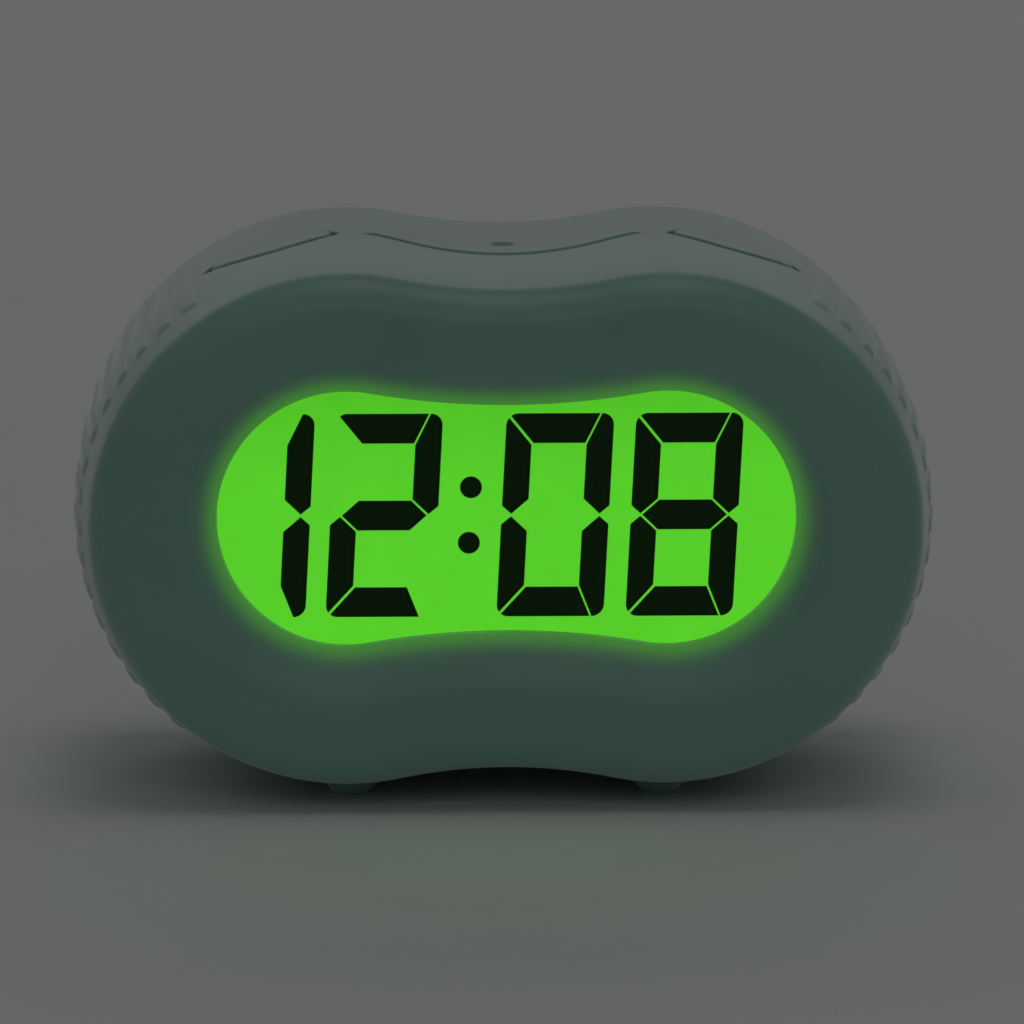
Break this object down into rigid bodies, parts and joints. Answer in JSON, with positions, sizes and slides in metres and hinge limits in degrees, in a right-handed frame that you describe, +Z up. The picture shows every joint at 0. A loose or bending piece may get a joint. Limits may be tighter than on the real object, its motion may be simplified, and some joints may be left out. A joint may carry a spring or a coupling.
{
  "type": "alarm clock",
  "caption": "Bedside digital alarm clock with a backlit liquid crystal display in a peanut-shaped soft jacket, leaf-shaped keys on top and a battery bay at the back.",
  "frame": {"origin": "middle of the footprint, on the surface that the feet stand on", "axes": "+X to the clock's right as its face is read, +Y from the face towards the back, +Z up"},
  "size_m": [0.1046, 0.0528, 0.0674],
  "materials": {
    "jacket_silicone": "soft matt",
    "case_plastic": "fine spark texture",
    "key_plastic": "satin",
    "clear_window": "polished",
    "lcd_backlit": "polished",
    "lcd_ink": "matt",
    "frame_plastic": "matt",
    "light_guide_acrylic": "polished",
    "reflector_film": "satin",
    "led_resin": "polished",
    "contact_rubber": "striped",
    "circuit_board": "solder resist",
    "chip_resin": "glossy",
    "metal_can": "bright",
    "capacitor_sleeve": "shrink sleeve",
    "sensor_resin": "polished",
    "switch_plastic": "matt",
    "button_plastic": "satin",
    "screw_zinc": "zinc plated",
    "contact_nickel": "nickel plated",
    "battery_sleeve": "printed sleeve",
    "buzzer_plastic": "matt",
    "wire_red": "insulation",
    "wire_black": "insulation",
    "ribbon_grey": "insulation"
  },
  "bodies": {
    "clock_body": {"silicone_jacket": "jacket_silicone", "front_case": "case_plastic", "rear_cover": "case_plastic", "window_lens": "clear_window", "case_screws": "screw_zinc", "lcd_panel": "lcd_backlit", "lcd_digits": "lcd_ink", "lcd_frame": "frame_plastic", "light_guide": "light_guide_acrylic", "reflector_sheet": "reflector_film", "backlight_led_left": "led_resin", "backlight_led_right": "led_resin", "contact_strip": "contact_rubber", "main_board": "circuit_board", "main_board_screws": "screw_zinc", "controller_chip": "chip_resin", "clock_crystal": "metal_can", "smoothing_capacitor": "capacitor_sleeve", "key_board": "circuit_board", "key_board_screws": "screw_zinc", "light_sensor": "sensor_resin", "snooze_switch_housings": "switch_plastic", "left_switch_housing": "switch_plastic", "right_switch_housing": "switch_plastic", "rear_board": "circuit_board", "rear_board_screws": "screw_zinc", "set_switch_housings": "switch_plastic", "alarm_slide_housing": "metal_can", "light_slide_housing": "metal_can", "buzzer": "buzzer_plastic", "buzzer_leads": "wire_black", "upper_battery": "battery_sleeve", "lower_battery": "battery_sleeve", "positive_terminal": "contact_nickel", "negative_terminal": "contact_nickel", "contact_bridge": "contact_nickel", "contact_springs": "contact_nickel", "battery_lead_red": "wire_red", "battery_lead_black": "wire_black", "key_ribbon": "ribbon_grey", "rear_ribbon": "ribbon_grey"},
    "snooze_press_body": {"snooze_key": "key_plastic", "snooze_switch_plungers": "switch_plastic", "sensor_window": "sensor_resin"},
    "left_key_body": {"left_key": "key_plastic", "left_switch_plunger": "switch_plastic"},
    "right_key_body": {"right_key": "key_plastic", "right_switch_plunger": "switch_plastic"},
    "time_button_body": {"time_button": "button_plastic", "time_plunger": "switch_plastic"},
    "alarm_button_body": {"alarm_button": "button_plastic", "alarm_plunger": "switch_plastic"},
    "hour_button_body": {"hour_button": "button_plastic", "hour_plunger": "switch_plastic"},
    "minute_button_body": {"minute_button": "button_plastic", "minute_plunger": "switch_plastic"},
    "alarm_slider_body": {"alarm_slider": "button_plastic"},
    "light_slider_body": {"light_slider": "button_plastic"},
    "battery_door_body": {"battery_door": "case_plastic"}
  },
  "joints": [
    {"name": "snooze_press", "type": "slide", "parent": "clock_body", "child": "snooze_press_body", "axis": [0, 0, -1], "range_m": [0, 0.0007], "stiffness_N_per_m": 2000},
    {"name": "left_key_press", "type": "slide", "parent": "clock_body", "child": "left_key_body", "axis": [0, 0, -1], "range_m": [0, 0.0007], "stiffness_N_per_m": 2000},
    {"name": "right_key_press", "type": "slide", "parent": "clock_body", "child": "right_key_body", "axis": [0, 0, -1], "range_m": [0, 0.0007], "stiffness_N_per_m": 2000},
    {"name": "time_button_press", "type": "slide", "parent": "clock_body", "child": "time_button_body", "axis": [0, -1, 0], "range_m": [0, 0.0005], "stiffness_N_per_m": 2000},
    {"name": "alarm_button_press", "type": "slide", "parent": "clock_body", "child": "alarm_button_body", "axis": [0, -1, 0], "range_m": [0, 0.0005], "stiffness_N_per_m": 2000},
    {"name": "hour_button_press", "type": "slide", "parent": "clock_body", "child": "hour_button_body", "axis": [0, -1, 0], "range_m": [0, 0.0005], "stiffness_N_per_m": 2000},
    {"name": "minute_button_press", "type": "slide", "parent": "clock_body", "child": "minute_button_body", "axis": [0, -1, 0], "range_m": [0, 0.0005], "stiffness_N_per_m": 2000},
    {"name": "alarm_switch_slide", "type": "slide", "parent": "clock_body", "child": "alarm_slider_body", "axis": [0, 0, 1], "range_m": [0, 0.0025]},
    {"name": "light_switch_slide", "type": "slide", "parent": "clock_body", "child": "light_slider_body", "axis": [0, 0, 1], "range_m": [0, 0.0025]},
    {"name": "battery_door_tip", "type": "hinge", "parent": "clock_body", "child": "battery_door_body", "pos_m": [0, 0.0252, 0.0148], "axis": [-1, 0, 0], "range_deg": [0, 80]}
  ]
}
